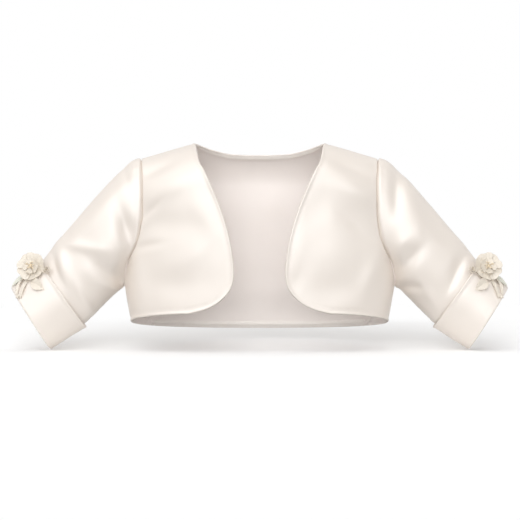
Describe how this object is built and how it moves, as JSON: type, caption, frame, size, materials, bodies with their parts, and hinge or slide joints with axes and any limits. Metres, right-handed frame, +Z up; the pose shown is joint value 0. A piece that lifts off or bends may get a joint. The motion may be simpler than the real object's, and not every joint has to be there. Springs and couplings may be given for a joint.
{
  "type": "bolero jacket",
  "caption": "Child's ivory satin bolero with elbow-length sleeves, turned-back cuffs and a fabric flower on each cuff, hollow and filled out as worn.",
  "frame": {"origin": "midway between the neck ends of the two shoulder seams, where the wearer's shoulders hold the jacket up", "axes": "+X to the right in a view of the front, the front faces -Y, +Z up"},
  "size_m": [0.496, 0.1075, 0.2051],
  "materials": {
    "satin": "ivory duchess satin with a soft sheen",
    "petal_cloth": "ivory stiffened satin, slightly darker than the jacket",
    "flower_centre": "stamens and small beads in a darker ivory"
  },
  "bodies": {
    "root": {"back": "satin", "back_neck_band": "satin", "back_hem_band": "satin", "front_left": "satin", "front_right": "satin", "sleeve_left": "satin", "sleeve_right": "satin", "cuff_left": "satin", "cuff_right": "satin", "petals_outer_left": "petal_cloth", "petals_outer_right": "petal_cloth", "petals_inner_left": "petal_cloth", "petals_inner_right": "petal_cloth", "flower_centre_left": "flower_centre", "flower_centre_right": "flower_centre", "bud_left": "petal_cloth", "bud_right": "petal_cloth", "leaf_front_left": "petal_cloth", "leaf_front_right": "petal_cloth", "leaf_outer_left": "petal_cloth", "leaf_outer_right": "petal_cloth", "ribbon_upper_left": "petal_cloth", "ribbon_upper_right": "petal_cloth", "ribbon_lower_left": "petal_cloth", "ribbon_lower_right": "petal_cloth"}
  },
  "joints": []
}
